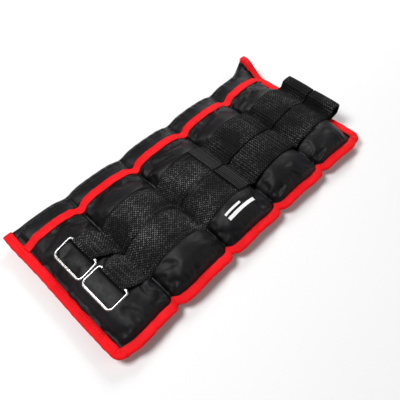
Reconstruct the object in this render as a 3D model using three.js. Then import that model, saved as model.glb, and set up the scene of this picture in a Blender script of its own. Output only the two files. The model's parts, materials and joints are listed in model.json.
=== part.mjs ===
// Ankle cuff weight: a row of five filled fabric pockets, joined by stitched seams that bend, with two webbing
// straps along the front. Each strap starts at a wire loop on the left end and folds back over the right end.
// Units are millimetres. +X runs along the cuff from the wire loops to the strap folds, +Y runs across it towards
// the pocket mouths, and +Z points up from the surface that the cuff lies on, front face up.

import * as THREE from "three";

// Driving dimensions
const POCKETS = 5;
const PITCH = 66; // seam to seam
const CUFF_LENGTH = POCKETS * PITCH; // over the end bindings
const FOLD_OVERHANG = 6; // how far the strap folds pass the right end
const LEFT_X = -(CUFF_LENGTH + FOLD_OVERHANG) / 2; // left end, so that the origin is in the middle of the whole
const NEAR_Y = -82; // outer edge of the near binding
const FAR_Y = 82; // outer edge of the pocket mouth flap
const MOUTH_Y = 56; // outer edge of the far binding, where the flap starts
const CORNER_R = 10; // near corners of the cuff
const CLOTH = 0.6; // thickness of the nylon covers
const GAP = 0.3; // clearance between neighbouring pieces
const SEAM_Z = 9; // middle of the stitched seams above the ground
const SEAM_GAP = 0.75; // from each seam line to the edge of the pocket beside it
const BEND_ROOM = 0.6; // how much further back the near binding starts, so that the seam can bend
const BINDING = 0.8; // thickness of one layer of binding tape
const BINDING_WIDTH = 8.5;
const STRAP_WIDTH = 32;
const STRAP_THICK = 1.4;
const STRAP_LIFT = 0.4; // clearance under each layer of strap
const STRAP_PITCH = 33.6; // between the middles of the two straps
const LOOP_PITCH = 39.2; // the same, at the wire loops
const STRAPS_Y = -12; // middle of the pair of straps
const WIRE_R = 1.3;
const LOOP_INNER_WIDTH = 33; // along Y
const LOOP_REACH = 20.5; // from the hinge bar to the outer bar, middle to middle
const LOOP_CORNER_R = 3; // of the wire's middle line
const LOOP_TILT = THREE.MathUtils.degToRad(13); // the loops lean down from the strap to the cuff's end
const LOOP_BAR_U = 40; // hinge bar, measured from the left end
const KEEPER_WIDTH = 28;
const KEEPER_REACH = 13; // from the hinge bar to the end of the sewn fold
const BAR_CLEARANCE = 0.5;
const TAIL_END_U = 190; // where the free strap meets its hook tape tip
const TIP_LENGTH = 14;
const TIP_THICK = 1;
const BASE_END_U = 313; // where the straps leave the pockets at the right end
const BADGE_SIZE = [30, 8, 0.5];

const TOP_WEB = SEAM_Z + GAP / 2 + CLOTH; // upper face of the front cover at a seam
const BACK_WEB = SEAM_Z - GAP / 2 - CLOTH; // lower face of the back cover at a seam
const FLANGE_Y = NEAR_Y + BINDING + 0.2; // edge of the covers inside the near binding
const FAR_EDGE_LIFT = 2; // room under the front cover's far edge for its own binding
const FAR_EDGE_SHARE = 0.5; // height of the front cover at its far edge, as a share of the pocket's height

const COLOURS = {
  nylon: [0x17171a, 0.75, 0],
  lining: [0x1b1b1e, 0.85, 0],
  binding: [0xf5121c, 0.6, 0],
  webbing: [0x1f1f1d, 0.9, 0],
  hook: [0x101011, 0.8, 0],
  steel: [0xdcdcd8, 0.3, 1],
  filling: [0x3a3632, 0.9, 0],
  print: [0xf2f2f0, 0.6, 0],
};

const cuff = new THREE.Group();
const smooth = (t) => THREE.MathUtils.smoothstep(t, 0, 1);
const clamp = THREE.MathUtils.clamp;
const atU = (u) => LEFT_X + u;

function addPiece(name, geometry, material) {
  const [color, roughness, metalness] = COLOURS[material];
  const mesh = new THREE.Mesh(geometry, new THREE.MeshStandardMaterial({ color, roughness, metalness }));
  mesh.name = name;
  cuff.add(mesh);
  return mesh;
}

// Pockets -------------------------------------------------------------------------------------------------------

// Where pocket i lies along the cuff, where its filling swells it and how high. The outer ends stay flat.
function pocketOf(i) {
  const left = i === 1;
  const right = i === POCKETS;
  const seamMargin = 3;
  const start = (i - 1) * PITCH;
  const bulge = [start + (left ? 15 : seamMargin), start + PITCH - (right ? 12 : seamMargin)];
  return {
    i,
    left,
    right,
    edges: [start + (left ? BINDING + 0.2 : SEAM_GAP), start + PITCH - (right ? BINDING + 0.2 : SEAM_GAP)],
    bulge,
    middle: (bulge[0] + bulge[1]) / 2,
    half: (bulge[1] - bulge[0]) / 2,
    height: left ? 12.5 : right ? 15 : 17,
  };
}

const pockets = Array.from({ length: POCKETS }, (_, k) => pocketOf(k + 1));
const pocketAt = (u) => pockets[clamp(Math.floor(u / PITCH), 0, POCKETS - 1)];

// The lines along which every piece of a pocket is divided, so that neighbouring faceted skins never cross.
function linesOf(p) {
  const inner = [-1, -0.86, -0.52, 0, 0.52, 0.86, 1].map((s) => p.middle + s * p.half);
  const flange = BINDING_WIDTH + 0.5;
  return [
    p.edges[0],
    ...(p.left ? [flange] : []),
    ...inner,
    ...(p.right ? [CUFF_LENGTH - flange] : []),
    p.edges[1],
  ];
}

const stretch = (p, u) => clamp((u - p.middle) / p.half, -1, 1);
const frontSwell = (p, u) => Math.pow(Math.max(0, 1 - stretch(p, u) ** 2), 0.6);
const backSwell = (p, u) => 1 - stretch(p, u) ** 4;

// 0 in the end bindings and 1 on the pockets
function insideEnds(u) {
  const flange = BINDING_WIDTH + 0.5;
  const last = pockets[POCKETS - 1].bulge[1];
  return Math.min(clamp((u - flange) / (pockets[0].bulge[0] - flange), 0, 1),
    clamp((CUFF_LENGTH - flange - u) / (CUFF_LENGTH - flange - last), 0, 1));
}

// Height of the front cover's outer face
function frontZ(p, u, y) {
  const near = clamp((y - NEAR_Y - BINDING_WIDTH) / 28, 0, 1);
  const rise = Math.sqrt(1 - (1 - near) ** 2);
  const far = smooth((y - 22) / 26);
  const swell = p.height * frontSwell(p, u) * rise * (1 - (1 - FAR_EDGE_SHARE) * far);
  return TOP_WEB + swell + FAR_EDGE_LIFT * far * insideEnds(u);
}

const farEdgeZ = (p, u) => frontZ(p, u, MOUTH_Y);

// Height of the mouth flap's outer face, which rolls down from the far binding to the cuff's outer edge
function flapZ(p, u, y) {
  const v = clamp((y - MOUTH_Y) / (FAR_Y - MOUTH_Y), 0, 1);
  return TOP_WEB + (farEdgeZ(p, u) - TOP_WEB) * Math.sqrt(1 - v * v);
}

const topZ = (p, u, y) => (y < MOUTH_Y ? frontZ(p, u, y) : flapZ(p, u, y));

// Height of the back cover's outer face, which is flat where the filling rests
function backZ(p, u, y) {
  const near = clamp((y - NEAR_Y - BINDING_WIDTH) / 14, 0, 1);
  const far = clamp((FAR_Y - y) / 16, 0, 1);
  const round = Math.sqrt(1 - (1 - near) ** 2) * Math.sqrt(1 - (1 - far) ** 2);
  return BACK_WEB * (1 - Math.min(1, 1.08 * backSwell(p, u) * round));
}

// How much thicker a sheet is when it is measured straight up, where its face is steep
function steepness(height, u, y) {
  const along = (height(u + 1, y) - height(u - 1, y)) / 2;
  const across = (height(u, y + 1) - height(u, y - 1)) / 2;
  return Math.min(2.5, Math.hypot(1, along, across));
}

// Heights at a depth below the front cover or the flap, and at a height above the back cover, as far as the seam
function belowTop(p, u, y, depth) {
  const z = topZ(p, u, y) - depth * steepness((a, b) => topZ(p, a, b), u, y);
  return Math.max(z, SEAM_Z + GAP / 2);
}

function aboveBack(p, u, y, rise) {
  const z = backZ(p, u, y) + rise * steepness((a, b) => backZ(p, a, b), u, y);
  return Math.min(z, SEAM_Z - GAP / 2);
}

// How far the near corner of an end pocket cuts in at u
function cornerCut(u) {
  const d = Math.min(u, CUFF_LENGTH - u) - BINDING;
  const t = clamp(1 - d / CORNER_R, 0, 1);
  return CORNER_R * (1 - Math.sqrt(1 - t * t));
}

// A thin or thick slab divided along us and ys, with its lower and upper faces at the heights low and high.
function slab(us, ys, low, high, shiftY = () => 0) {
  const geometry = new THREE.BoxGeometry(1, 1, 1, us.length - 1, ys.length - 1, 1);
  const at = geometry.getAttribute("position");
  for (let k = 0; k < at.count; k++) {
    const u = us[Math.round((at.getX(k) + 0.5) * (us.length - 1))];
    const row = Math.round((at.getY(k) + 0.5) * (ys.length - 1));
    const y = ys[row] + shiftY(u, ys[row]);
    at.setXYZ(k, atU(u), y, at.getZ(k) > 0 ? high(u, y) : low(u, y));
  }
  return geometry;
}

// The first line of a cover follows the rounded corner, and the second one makes room for it.
function cornerShift(u, y) {
  if (y === FLANGE_Y) return cornerCut(u);
  return y === NEAR_Y + BINDING_WIDTH ? cornerCut(u) * 0.3 : 0;
}

function frontCover(p) {
  const ys = [FLANGE_Y, NEAR_Y + BINDING_WIDTH, -66, -58, -46, 22, 35, 48, MOUTH_Y - BINDING - 0.3];
  const high = (u, y) => frontZ(p, u, y);
  const low = (u, y) => belowTop(p, u, y, CLOTH);
  addPiece(`front_cover_${p.i}`, slab(linesOf(p), ys, low, high, cornerShift), "nylon");
}

function backCover(p) {
  const ys = [FLANGE_Y, NEAR_Y + BINDING_WIDTH, -68, -59, 66, 73, 79, FAR_Y];
  const low = (u, y) => backZ(p, u, y);
  const high = (u, y) => aboveBack(p, u, y, CLOTH);
  addPiece(`back_cover_${p.i}`, slab(linesOf(p), ys, low, high, cornerShift), "lining");
}

function mouthFlap(p) {
  const ys = [MOUTH_Y + GAP, 65, 73, 79, FAR_Y];
  const high = (u, y) => flapZ(p, u, y);
  const low = (u, y) => belowTop(p, u, y, CLOTH);
  addPiece(`mouth_flap_${p.i}`, slab(linesOf(p), ys, low, high), "nylon");
}

// The hook tape that closes the pocket's mouth, under the front cover's far edge and the flap
function closureTape(p) {
  const us = linesOf(p).filter((u) => Math.abs(stretch(p, u)) < 0.9);
  const thick = 0.8;
  const under = CLOTH + BINDING + 2 * GAP;
  const high = (u) => farEdgeZ(p, u) - under - 0.4;
  addPiece(`closure_tape_${p.i}`, slab(us, [44, 64], (u) => high(u) - thick, high), "hook");
}

// The pouch of iron sand that fills the pocket and can be taken out of its mouth
function weightBag(p) {
  const us = linesOf(p).filter((u) => Math.abs(stretch(p, u)) < 0.9);
  const ys = [-62, -58, -46, 22, 35, 43];
  const clear = CLOTH + 1;
  const low = (u, y) => aboveBack(p, u, y, clear);
  const high = (u, y) => belowTop(p, u, y, clear) - (y > 22 ? 1.5 : 0);
  addPiece(`weight_bag_${p.i}`, slab(us, ys, low, high), "filling");
}

// Bindings ------------------------------------------------------------------------------------------------------

// Section of a folded tape that grips an edge: a U that opens towards +x of the shape, slot high inside.
function tapeSection(slot) {
  const h = slot / 2;
  const o = h + BINDING;
  const w = BINDING_WIDTH;
  return new THREE.Shape([
    [0, -o], [w, -o], [w, -h], [BINDING, -h], [BINDING, h], [w, h], [w, o], [0, o],
  ].map(([x, y]) => new THREE.Vector2(x, y)));
}

// Extrudes a section and carries each of its vertices to at(step, across, up).
function sweep(section, steps, at) {
  const geometry = new THREE.ExtrudeGeometry(section, { depth: 1, steps, bevelEnabled: false });
  const v = geometry.getAttribute("position");
  for (let k = 0; k < v.count; k++) {
    v.setXYZ(k, ...at(Math.round(v.getZ(k) * steps), v.getX(k), v.getY(k)));
  }
  return geometry;
}

const EDGE_SLOT = 2 * CLOTH + 3 * GAP; // takes both covers

function nearBinding(p) {
  const from = p.left ? CORNER_R + GAP : p.edges[0] + BEND_ROOM;
  const to = p.right ? CUFF_LENGTH - CORNER_R - GAP : p.edges[1] - BEND_ROOM;
  const at = (k, across, up) => [atU(k ? to : from), NEAR_Y + across, SEAM_Z + up];
  addPiece(`binding_near_${p.i}`, sweep(tapeSection(EDGE_SLOT), 1, at), "binding");
}

function farBinding(p) {
  const us = linesOf(p).filter((u) => insideEnds(u) === 1);
  const at = (k, across, up) => [atU(us[k]), MOUTH_Y - across, farEdgeZ(p, us[k]) - CLOTH / 2 + up];
  const geometry = sweep(tapeSection(CLOTH + 2 * GAP), us.length - 1, at);
  addPiece(`binding_far_${p.i}`, flipped(geometry), "binding");
}

// Turns every face of a geometry round, for a sweep whose placing mirrors it.
function flipped(geometry) {
  const plain = geometry.index ? geometry.toNonIndexed() : geometry;
  const a = plain.getAttribute("position").array;
  for (let k = 0; k < a.length; k += 9) {
    for (let c = 0; c < 3; c++) {
      [a[k + 3 + c], a[k + 6 + c]] = [a[k + 6 + c], a[k + 3 + c]];
    }
  }
  return plain;
}

// The tape round a near corner and along one end of the cuff
function endBinding(name, side) {
  const turn = [0, 30, 60, 90].map((d) => THREE.MathUtils.degToRad(d));
  const end = side < 0 ? atU(0) : atU(CUFF_LENGTH);
  const path = turn.map((a) => ({
    x: end - side * CORNER_R * (1 - Math.sin(a)),
    y: NEAR_Y + CORNER_R * (1 - Math.cos(a)),
    inward: [-side * Math.sin(a), Math.cos(a)],
  }));
  path.push({ x: end, y: FAR_Y, inward: [-side, 0] });
  const at = (k, across, up) => {
    const { x, y, inward } = path[k];
    return [x + inward[0] * across, y + inward[1] * across, SEAM_Z + up];
  };
  const geometry = sweep(tapeSection(EDGE_SLOT), path.length - 1, at);
  addPiece(name, side < 0 ? flipped(geometry) : geometry, "binding");
}

// Straps --------------------------------------------------------------------------------------------------------

// Middle of a strap at u: the pair spreads towards the wire loops.
function rowY(row, u) {
  const spread = clamp((PITCH - u) / (PITCH - LOOP_BAR_U - KEEPER_REACH), 0, 1);
  return STRAPS_Y + (row * (STRAP_PITCH + (LOOP_PITCH - STRAP_PITCH) * spread)) / 2;
}

// The strap sewn along the front of pocket p
function sewnWebbing(p, row, label) {
  const from = p.left ? LOOP_BAR_U + KEEPER_REACH + GAP : p.edges[0];
  const to = p.right ? BASE_END_U : p.edges[1];
  const us = [from, ...linesOf(p).filter((u) => u > from + 1 && u < to - 1), to];
  const low = (u) => frontZ(p, u, STRAPS_Y) + STRAP_LIFT;
  const half = STRAP_WIDTH / 2;
  const geometry = slab(us, [-half, half], low, (u) => low(u) + STRAP_THICK, (u) => rowY(row, u));
  addPiece(`webbing_${label}_${p.i}`, geometry, "webbing");
}

// Closed ribbon of even thickness, swept across the strap's width, along points [u, z] on its lower face
function ribbon(points, thick, row) {
  const us = points.map(([u]) => u);
  const line = points.map(([u, z]) => new THREE.Vector2(u, z));
  const normals = line.map((_, k) => {
    const ahead = line[Math.min(k + 1, line.length - 1)].clone().sub(line[Math.max(k - 1, 0)]).normalize();
    return new THREE.Vector2(-ahead.y, ahead.x);
  });
  const geometry = new THREE.BoxGeometry(1, 1, 1, us.length - 1, 1, 1);
  const at = geometry.getAttribute("position");
  for (let k = 0; k < at.count; k++) {
    const n = Math.round((at.getX(k) + 0.5) * (us.length - 1));
    const up = at.getZ(k) > 0 ? thick : 0;
    const y = rowY(row, CUFF_LENGTH) + (at.getY(k) > 0 ? 0.5 : -0.5) * STRAP_WIDTH;
    at.setXYZ(k, atU(line[n].x + normals[n].x * up), y, line[n].y + normals[n].y * up);
  }
  return geometry;
}

// The fold's hinge line, at the outermost point of the strap
const FOLD_U = CUFF_LENGTH + FOLD_OVERHANG;
const FOLD_Z = 20;

// Lower half of the fold: from the pocket out over the end binding and up to the fold line
function strapFold(row, label) {
  const p = pockets[POCKETS - 1];
  const leave = frontZ(p, BASE_END_U, STRAPS_Y) + STRAP_LIFT;
  const points = [
    [BASE_END_U + GAP, leave], [CUFF_LENGTH - 9, 13.5], [CUFF_LENGTH - 3, 12.6], [CUFF_LENGTH + 2.5, 14.4],
    [FOLD_U, FOLD_Z - 0.8],
  ];
  addPiece(`strap_fold_${label}`, ribbon(points, STRAP_THICK, row), "webbing");
}

// Upper half of the fold and the free strap that lies back over three pockets
function strapTail(row, label) {
  const layer = STRAP_LIFT + STRAP_THICK + STRAP_LIFT;
  const on = (u) => [u, frontZ(pocketAt(u), u, STRAPS_Y) + layer];
  const crossed = pockets.slice(2).flatMap((p) => linesOf(p)).filter((u) => u > TAIL_END_U + 0.5 && u < 308);
  const points = [
    on(TAIL_END_U), ...crossed.map(on),
    [CUFF_LENGTH - 15, 27], [CUFF_LENGTH - 10, 29.4], [CUFF_LENGTH - 4, 30], [CUFF_LENGTH + 1, 27.5],
    [FOLD_U - STRAP_THICK - 0.6, FOLD_Z + 0.4],
  ];
  addPiece(`strap_tail_${label}`, ribbon(points, STRAP_THICK, row), "webbing");
}

// Hook tape at the free strap's end
function hookTip(row, label) {
  const p = pocketAt(TAIL_END_U);
  const from = TAIL_END_U - TIP_LENGTH;
  const us = [from, ...linesOf(p).filter((u) => u > from + 1 && u < TAIL_END_U - 1), TAIL_END_U - GAP];
  const low = (u) => frontZ(p, u, STRAPS_Y) + STRAP_LIFT + STRAP_THICK + STRAP_LIFT;
  const half = STRAP_WIDTH / 2;
  const shift = () => rowY(row, CUFF_LENGTH);
  addPiece(`hook_tip_${label}`, slab(us, [-half, half], low, (u) => low(u) + TIP_THICK, shift), "hook");
}

// Wire loops ----------------------------------------------------------------------------------------------------

const KNUCKLE_R = WIRE_R + BAR_CLEARANCE + STRAP_THICK;
const BAR_Z = frontZ(pockets[0], LOOP_BAR_U, STRAPS_Y) + STRAP_LIFT + KNUCKLE_R;

// A rectangular ring of wire with round corners. Its hinge bar lies on the group's origin along Y.
function wireLoop(row, label) {
  const around = 16;
  const geometry = new THREE.TorusGeometry(10, WIRE_R, 8, around);
  const straight = [LOOP_REACH / 2 - LOOP_CORNER_R, LOOP_INNER_WIDTH / 2 + WIRE_R - LOOP_CORNER_R];
  const at = geometry.getAttribute("position");
  for (let k = 0; k < at.count; k++) {
    const a = Math.atan2(at.getY(k), at.getX(k)) + Math.PI / around;
    const out = LOOP_CORNER_R + Math.hypot(at.getX(k), at.getY(k)) - 10;
    const x = Math.sign(Math.cos(a)) * straight[0] + Math.cos(a) * out;
    const y = Math.sign(Math.sin(a)) * straight[1] + Math.sin(a) * out;
    at.setXYZ(k, x - LOOP_REACH / 2, y, at.getZ(k));
  }
  const loop = addPiece(`wire_loop_${label}`, geometry, "steel");
  loop.rotation.y = -LOOP_TILT;
  loop.position.set(atU(LOOP_BAR_U), rowY(row, LOOP_BAR_U), BAR_Z);
}

// The strap's end, folded round the hinge bar and sewn down on itself
function strapKeeper(row, label) {
  const p = pockets[0];
  const reach = KEEPER_REACH;
  const under = (along) => frontZ(p, LOOP_BAR_U + along, STRAPS_Y) + STRAP_LIFT + 0.1 - BAR_Z;
  const lines = [reach / 2, reach];
  const outline = new THREE.Shape();
  outline.absarc(0, 0, KNUCKLE_R, Math.PI / 2, (Math.PI * 3) / 2, false);
  outline.lineTo(lines[0], under(lines[0]));
  outline.lineTo(lines[1], under(lines[1]));
  outline.lineTo(lines[1], under(lines[1]) + 2 * STRAP_THICK + 0.2);
  outline.lineTo(lines[0], under(lines[0]) + 4.6);
  outline.closePath();
  const hole = new THREE.Path();
  hole.absarc(0, 0, WIRE_R + BAR_CLEARANCE, 0, Math.PI * 2, true);
  outline.holes.push(hole);
  const geometry = new THREE.ExtrudeGeometry(outline, { depth: KEEPER_WIDTH, bevelEnabled: false, curveSegments: 6 });
  geometry.translate(0, 0, -KEEPER_WIDTH / 2).rotateX(Math.PI / 2);
  const keeper = addPiece(`strap_keeper_${label}`, geometry, "webbing");
  keeper.position.set(atU(LOOP_BAR_U), rowY(row, LOOP_BAR_U), BAR_Z);
}

// A plain printed patch beside the straps
function badge() {
  const [length, width, thick] = BADGE_SIZE;
  const p = pockets[2];
  const y = -54;
  const us = [p.middle - length / 2, p.middle, p.middle + length / 2];
  const ys = [y - width / 2, y + width / 2];
  const low = (u) => frontZ(p, u, y + width / 2) + 0.5;
  addPiece("badge", slab(us, ys, low, (u) => low(u) + thick), "print");
}

for (const p of pockets) {
  frontCover(p);
  backCover(p);
  mouthFlap(p);
  closureTape(p);
  weightBag(p);
  nearBinding(p);
  farBinding(p);
}
for (const [row, label] of [[1, "far"], [-1, "near"]]) {
  for (const p of pockets) {
    sewnWebbing(p, row, label);
  }
  wireLoop(row, label);
  strapKeeper(row, label);
  strapFold(row, label);
  strapTail(row, label);
  hookTip(row, label);
}
endBinding("binding_left_end", -1);
endBinding("binding_right_end", 1);
badge();

export default cuff;
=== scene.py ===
"""Ankle cuff weight, lying on its back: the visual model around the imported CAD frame.

Lengths in this script are millimetres, with u along the cuff from its left end, y across it and z up, and they
turn into metres in the row frame where a mesh is made.
"""

import json
import math

import bpy
import numpy as np
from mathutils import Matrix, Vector, noise
from mathutils.bvhtree import BVHTree

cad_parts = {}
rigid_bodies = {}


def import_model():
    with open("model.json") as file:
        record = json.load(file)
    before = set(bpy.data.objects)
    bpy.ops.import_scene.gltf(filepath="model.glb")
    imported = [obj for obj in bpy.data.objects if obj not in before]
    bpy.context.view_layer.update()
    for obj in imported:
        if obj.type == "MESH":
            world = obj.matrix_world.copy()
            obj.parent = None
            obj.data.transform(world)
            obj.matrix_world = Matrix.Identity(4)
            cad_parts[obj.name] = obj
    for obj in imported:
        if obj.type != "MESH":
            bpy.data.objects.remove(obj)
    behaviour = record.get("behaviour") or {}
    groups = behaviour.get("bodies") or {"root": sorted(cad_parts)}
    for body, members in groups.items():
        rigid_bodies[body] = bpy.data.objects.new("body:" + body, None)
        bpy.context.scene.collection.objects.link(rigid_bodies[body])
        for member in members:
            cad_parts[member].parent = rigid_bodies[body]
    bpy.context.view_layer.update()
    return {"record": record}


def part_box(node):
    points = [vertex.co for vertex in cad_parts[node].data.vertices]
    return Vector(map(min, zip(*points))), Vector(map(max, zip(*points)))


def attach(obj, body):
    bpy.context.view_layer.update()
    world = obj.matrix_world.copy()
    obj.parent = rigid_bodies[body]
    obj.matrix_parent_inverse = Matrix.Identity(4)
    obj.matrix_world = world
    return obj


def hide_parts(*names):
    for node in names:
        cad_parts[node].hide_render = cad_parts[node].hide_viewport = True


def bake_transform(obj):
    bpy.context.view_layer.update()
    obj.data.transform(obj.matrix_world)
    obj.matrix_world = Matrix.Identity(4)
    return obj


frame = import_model()

MM = 0.001

# Sizes that the CAD gives ------------------------------------------------------------------------------------

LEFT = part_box("binding_left_end")[0].x / MM
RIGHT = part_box("binding_right_end")[1].x / MM
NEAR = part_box("binding_near_3")[0].y / MM
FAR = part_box("mouth_flap_3")[1].y / MM
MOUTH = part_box("binding_far_3")[1].y / MM
SEAM_Z = (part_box("binding_near_3")[0].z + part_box("binding_near_3")[1].z) / 2 / MM
LENGTH = RIGHT - LEFT
POCKETS = 5
PITCH = LENGTH / POCKETS
HEIGHTS = np.array([12.5, 17.0, 17.0, 17.0, 15.0])  # of the bulges over the seams
HALF_GAP = 0.75  # half of the gap between front and back where they are sewn together
TOP_WEB = SEAM_Z + HALF_GAP
BACK_WEB = SEAM_Z - HALF_GAP
TAPE = 8.8  # width of the folded binding tape
CORNER = 10.0  # radius of the near corners
STRAP_HALF = 16.3
STRAP_THICK = 1.5
STRAP_GAP = 0.35  # between a strap and the cloth under it
STRAPS_Y = -12.0  # middle of the pair of straps
STRAP_PITCH = 33.6
LOOP_PITCH = 39.2  # of the pair where it meets the wires
BAR_U = 40.0  # where the wire's bar lies in its strap
BAR_Z = 25.85
MIDDLES = [(k + 0.5) * PITCH for k in range(POCKETS)]
SEAMS = [(k + 1) * PITCH for k in range(POCKETS - 1)]
frame_nodes = {s["node"] for s in frame["record"]["subparts"]}


# Shape of the pockets ------------------------------------------------------------------------------------------


VALLEY = 0.4  # half width of the flat between two bulges
STRAP_VALLEY = 2.6  # the straps bridge the bottom of the valleys
LEFT_FLAT, RIGHT_FLAT = 13.0, 11.0  # between the ends of the cuff and the first and last bulges
BULGE_POWER = 0.58  # 0.5 would make each bulge's section half an ellipse
NEAR_RISE = 24.0  # length over which the front rises from the near tape
MOUTH_FALL_Y, MOUTH_FALL = 22.0, 26.0  # where the front starts to sink towards its mouth, and how far on it ends
RIGHT_PEAK, LEFT_PEAK = 15.0, 5.0  # how high the far corners stand


def smooth(t):
    t = np.clip(t, 0, 1)
    return t * t * (3 - 2 * t)


def pocket_of(u, valley=VALLEY):
    """Index, middle and half length of the bulge of the pocket at u."""
    i = np.clip(np.floor(np.asarray(u) / PITCH), 0, POCKETS - 1).astype(int)
    low = i * PITCH + np.where(i == 0, LEFT_FLAT, valley)
    high = (i + 1) * PITCH - np.where(i == POCKETS - 1, RIGHT_FLAT, valley)
    return i, (low + high) / 2, (high - low) / 2


def swell(u, valley=VALLEY):
    i, middle, half = pocket_of(u, valley)
    s = np.clip((u - middle) / half, -1, 1)
    return HEIGHTS[i] * np.power(1 - s * s, BULGE_POWER)


def front_z(u, y, valley=VALLEY):
    near = np.clip((y - NEAR - TAPE) / NEAR_RISE, 0, 1)
    rise = np.sqrt(1 - (1 - near) ** 2)
    far = smooth((y - MOUTH_FALL_Y) / MOUTH_FALL)
    inside = np.clip(np.minimum(u - 9, LENGTH - 9 - u) / 6, 0, 1)
    return TOP_WEB + swell(u, valley) * rise * (1 - 0.5 * far) + 2 * far * inside


def far_edge(u):
    """The flap's edge is gathered between its right corner and its left one, most of all at the seams."""
    everywhere, at_seams, at_left_corner = 5, 2.4, 2.5
    gathered = everywhere + at_seams * np.exp(-((seam_distance(u) / 9) ** 2))
    return FAR - gathered * smooth((LENGTH - 4 - u) / 22) - at_left_corner * smooth((26 - u) / 26)


def near_shift(u):
    """How far the near edge moves in (y) and up (z): each pocket pushes it out, and each seam pulls it in."""
    d = seam_distance(u)
    i = pocket_of(u)[0]
    bow = 1 - np.clip(np.abs(u - (i + 0.5) * PITCH) / (PITCH / 2), 0, 1) ** 2
    ends = smooth((np.minimum(u, LENGTH - u) - CORNER) / 10)
    push, push_up, pull, pull_down = 2.0, 2.6, 3.4, 1.0
    lean = 0.9 * np.sin(2 * np.pi * (u / PITCH + 0.12 * i))
    shift = pull * np.exp(-((d / 3.2) ** 2)) - (push * bow + lean * bow) * ends
    rise = push_up * bow * ends - pull_down * np.exp(-((d / 4) ** 2))
    return shift, rise


def trimmed(co):
    """Moves the points of a rectangular sheet so that its outline follows the bound edge."""
    co = co.copy()
    for end, side in ((0, 1), (LENGTH, -1)):
        du = np.minimum((co[:, 0] - end) * side - CORNER, 0)
        dy = np.minimum(co[:, 1] - NEAR - CORNER, 0)
        share = np.maximum(np.abs(du), np.abs(dy)) / np.maximum(np.hypot(du, dy), 1e-9)
        inside = (du < 0) & (dy < 0)
        co[:, 0] += np.where(inside, side * du * (share - 1), 0)
        co[:, 1] += np.where(inside, dy * (share - 1), 0)
    shift, rise = near_shift(co[:, 0])
    reach = 16  # beyond the tape, over which the cloth follows its edge less and less
    hold = np.clip(1 - (co[:, 1] - NEAR - TAPE) / reach, 0, 1)
    co[:, 1] += shift * hold
    co[:, 2] += rise * hold
    return co


def flap_z(u, y):
    v = np.clip((y - MOUTH) / (far_edge(u) - MOUTH), 0, 1)
    return TOP_WEB + (front_z(u, np.full_like(u, MOUTH)) - TOP_WEB) * np.sqrt(np.clip(1 - v**2.4, 0, 1))


def back_z(u, y):
    _, middle, half = pocket_of(u)
    s = np.clip((u - middle) / half, -1, 1)
    near_reach, far_reach, fullness, clearance = 14, 16, 1.08, 0.15
    near = np.clip((y - NEAR - TAPE) / near_reach, 0, 1)
    far = np.clip((far_edge(u) - y) / far_reach, 0, 1)
    rounded = np.sqrt(1 - (1 - near) ** 2) * np.sqrt(1 - (1 - far) ** 2)
    return BACK_WEB * (1 - np.minimum(1, fullness * (1 - s**4) * rounded)) + clearance


def seam_distance(u):
    return np.min([np.abs(u - s) for s in SEAMS], axis=0)


def corner_lift(u, y):
    """The far corners of the flap are not held down: the right one stands up, the left one a little."""
    right = np.exp(-(((LENGTH - u) / 17) ** 2)) * smooth((y - MOUTH + 6) / 30)
    left = np.exp(-((u / 12) ** 2)) * smooth((y - MOUTH + 2) / 28)
    return RIGHT_PEAK * right + LEFT_PEAK * left


def grain(points, size, seed):
    """Smooth noise from -1 to 1 at each (u, y) point, with features of about size."""
    return np.array([noise.noise(Vector((p[0] / size, p[1] / size, seed))) for p in points])


# Meshes --------------------------------------------------------------------------------------------------------


def grid_faces(rows, columns, close=False):
    """Quads of a grid whose vertex number is row * columns + column; close joins the last column to the first."""
    last = columns if close else columns - 1
    r, c = np.meshgrid(np.arange(rows - 1), np.arange(last), indexing="ij")
    r, c = r.ravel(), c.ravel()
    n = (c + 1) % columns
    return np.stack([r * columns + c, r * columns + n, (r + 1) * columns + n, (r + 1) * columns + c], 1)


def vertex_normals(co, quads):
    a, b, c, d = (co[quads[:, k]] for k in range(4))
    face = np.cross(c - a, d - b)
    out = np.zeros_like(co)
    for k in range(4):
        np.add.at(out, quads[:, k], face)
    return out / np.maximum(np.linalg.norm(out, axis=1, keepdims=True), 1e-12)


def new_piece(name, co, quads, material, flow=None, normals=None):
    """A smooth mesh object from (u, y, z) in millimetres. flow is the cloth's own flat position, for its weave."""
    mesh = bpy.data.meshes.new(name)
    world = (np.asarray(co, float) + [LEFT, 0, 0]) * MM
    mesh.from_pydata(world.tolist(), [], np.asarray(quads).tolist())
    mesh.update()
    mesh.shade_smooth()
    layer = mesh.attributes.new("flow", "FLOAT_VECTOR", "POINT")
    at = np.zeros((len(co), 3), np.float32)
    at[:, : np.shape(co if flow is None else flow)[1]] = np.asarray(co if flow is None else flow) * MM
    layer.data.foreach_set("vector", at.ravel())
    if normals is not None:
        mesh.normals_split_custom_set_from_vertices(normals.tolist())
    mesh.materials.append(material)
    obj = bpy.data.objects.new(name, mesh)
    bpy.context.scene.collection.objects.link(obj)
    return obj


LABELS = ["1", "12", "23", "34", "45", "5"]  # the pockets that each part of a cut mesh lies on


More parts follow.
